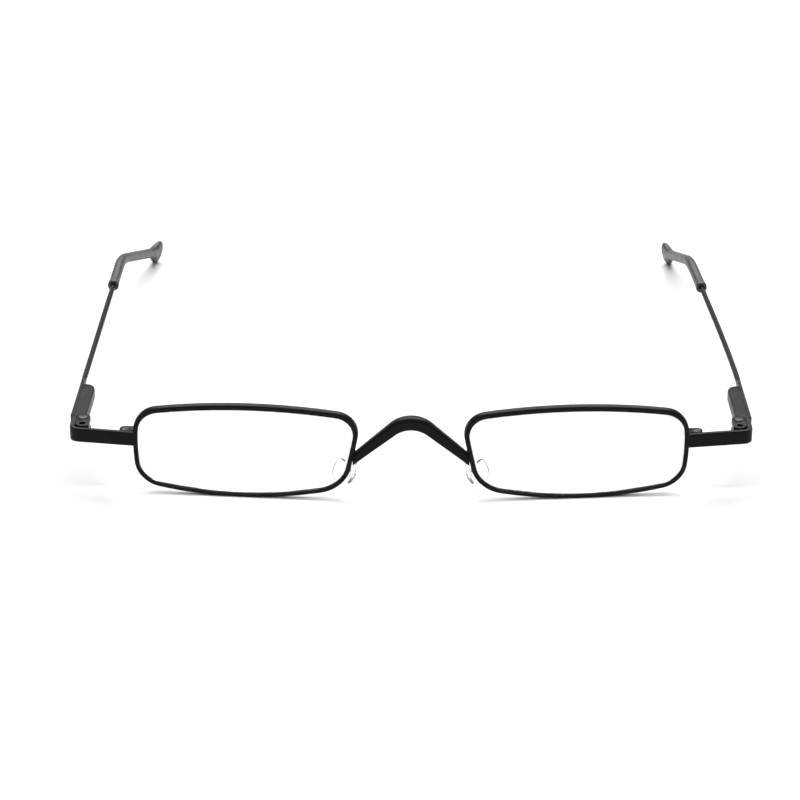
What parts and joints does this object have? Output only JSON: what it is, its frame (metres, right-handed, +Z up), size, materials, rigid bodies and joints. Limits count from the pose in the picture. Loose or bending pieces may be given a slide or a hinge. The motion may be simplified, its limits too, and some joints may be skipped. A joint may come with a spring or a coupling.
{
  "type": "folding reading glasses",
  "caption": "Slim rectangular metal-framed reading glasses with clear lenses, nose pads, sprung hinges and temples that fold flat behind the lenses.",
  "frame": {"origin": "on the table under the middle of the glasses' bounding box, with the bridge's middle on X = 0", "axes": "+X to the right as seen from in front of the lenses, +Y from the front back along the open temples, +Z up; nodes named left are on the -X side"},
  "size_m": [0.1351, 0.1378, 0.0208],
  "materials": {
    "frame_paint": "semi-gloss black lacquer",
    "screw_steel": "blackened",
    "spring_steel": "drawn",
    "lens_clear": "polished clear",
    "pad_clear": "clear moulded",
    "tip_black": "satin moulded black"
  },
  "bodies": {
    "front": {"bridge": "frame_paint", "left_rim": "frame_paint", "left_lens": "lens_clear", "left_endpiece": "frame_paint", "left_lock_block_upper": "frame_paint", "left_lock_block_lower": "frame_paint", "left_lock_screw": "screw_steel", "left_hinge_leaf": "frame_paint", "left_hinge_screw": "screw_steel", "left_pad_arm": "frame_paint", "left_pad_box": "frame_paint", "left_pad_screw": "screw_steel", "right_rim": "frame_paint", "right_lens": "lens_clear", "right_endpiece": "frame_paint", "right_lock_block_upper": "frame_paint", "right_lock_block_lower": "frame_paint", "right_lock_screw": "screw_steel", "right_hinge_leaf": "frame_paint", "right_hinge_screw": "screw_steel", "right_pad_arm": "frame_paint", "right_pad_box": "frame_paint", "right_pad_screw": "screw_steel"},
    "left_hinge_slider": {"left_hinge_plunger": "spring_steel", "left_plunger_nut": "spring_steel"},
    "left_temple": {"left_temple_arm": "frame_paint", "left_spring_housing": "frame_paint", "left_spring_bush": "spring_steel", "left_hinge_spring": "spring_steel", "left_temple_tip": "tip_black"},
    "left_pad": {"left_nose_pad": "pad_clear", "left_pad_core": "pad_clear"},
    "right_hinge_slider": {"right_hinge_plunger": "spring_steel", "right_plunger_nut": "spring_steel"},
    "right_temple": {"right_temple_arm": "frame_paint", "right_spring_housing": "frame_paint", "right_spring_bush": "spring_steel", "right_hinge_spring": "spring_steel", "right_temple_tip": "tip_black"},
    "right_pad": {"right_nose_pad": "pad_clear", "right_pad_core": "pad_clear"}
  },
  "joints": [
    {"name": "left_temple_fold", "type": "hinge", "parent": "front", "child": "left_hinge_slider", "pos_m": [-0.0648, -0.05772, 0.01225], "axis": [0, 0, -1], "range_deg": [-8, 88.5]},
    {"name": "left_hinge_spring_travel", "type": "slide", "parent": "left_hinge_slider", "child": "left_temple", "axis": [0.0192, 0.9998, 0], "range_m": [0, 0.0012], "stiffness_N_per_m": 150, "springref_m": -0.002, "deforming": ["left_hinge_spring"]},
    {"name": "left_nose_pad_rock", "type": "hinge", "parent": "front", "child": "left_pad", "pos_m": [-0.01365, -0.06123, 0.00465], "axis": [-0.6964, 0.6964, 0.1737], "range_deg": [-10, 10]},
    {"name": "right_temple_fold", "type": "hinge", "parent": "front", "child": "right_hinge_slider", "pos_m": [0.0648, -0.05772, 0.01225], "axis": [0, 0, 1], "range_deg": [-8, 83]},
    {"name": "right_hinge_spring_travel", "type": "slide", "parent": "right_hinge_slider", "child": "right_temple", "axis": [-0.0122, 0.9999, 0], "range_m": [0, 0.0012], "stiffness_N_per_m": 150, "springref_m": -0.002, "deforming": ["right_hinge_spring"]},
    {"name": "right_nose_pad_rock", "type": "hinge", "parent": "front", "child": "right_pad", "pos_m": [0.01365, -0.06123, 0.00465], "axis": [0.6964, 0.6964, 0.1737], "range_deg": [-10, 10]}
  ]
}
